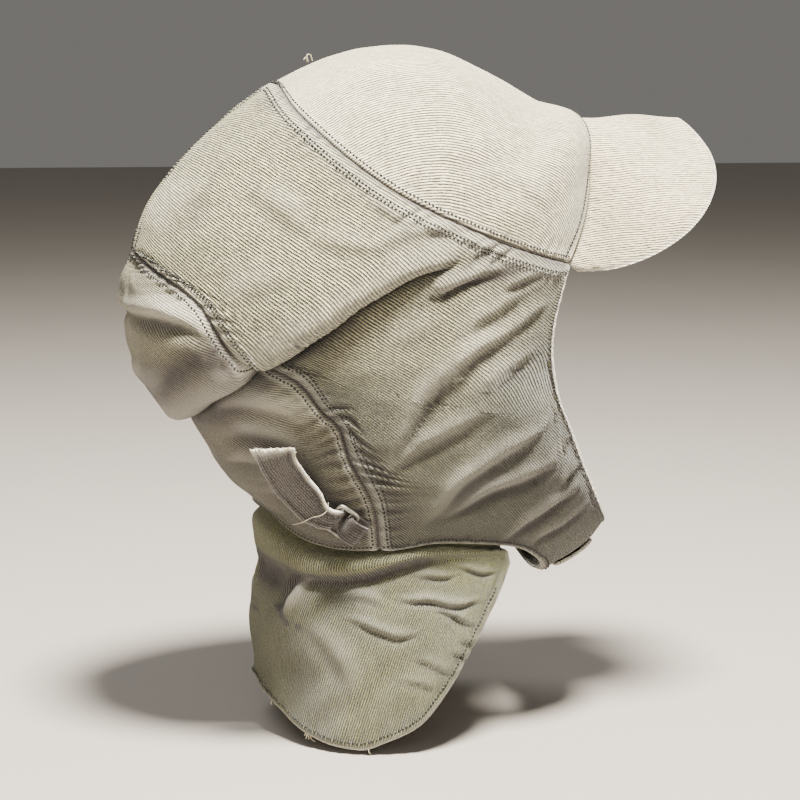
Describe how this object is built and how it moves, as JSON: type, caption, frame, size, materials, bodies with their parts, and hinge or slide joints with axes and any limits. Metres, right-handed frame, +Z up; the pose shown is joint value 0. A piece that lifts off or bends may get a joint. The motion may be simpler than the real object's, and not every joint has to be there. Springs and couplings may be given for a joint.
{
  "type": "winter deck cap with ear sides and neck flap",
  "caption": "Close cloth hood with a soft overhanging crown, short arched peak, ear sides joined under the chin, hanging neck flap and a buckled nape strap.",
  "frame": {"origin": "point inside the top of the crown, where a head carries the cap", "axes": "+Z up, -Y towards the wearer's front (the peak), -X the wearer's right"},
  "size_m": [0.191, 0.3039, 0.3505],
  "materials": {
    "crown_cloth": "sun-washed cream khaki corded cotton, matt",
    "side_cloth": "olive khaki corded cotton, matt, worn pale on ridges",
    "back_cloth": "warm khaki corded cotton, matt",
    "flap_cloth": "olive khaki corded cotton, matt, small dark stains",
    "strap_cloth": "dark brown-khaki cotton strap with frayed pale edges",
    "buckle_metal": "dull worn metal"
  },
  "bodies": {
    "root": {"crown_front_panel": "crown_cloth", "side_panel_right": "side_cloth", "side_panel_left": "side_cloth", "back_panel": "back_cloth", "peak": "crown_cloth", "neck_flap": "flap_cloth", "chin_tab": "side_cloth", "nape_strap": "strap_cloth", "short_tab": "strap_cloth", "slide_buckle": "buckle_metal"}
  },
  "joints": []
}
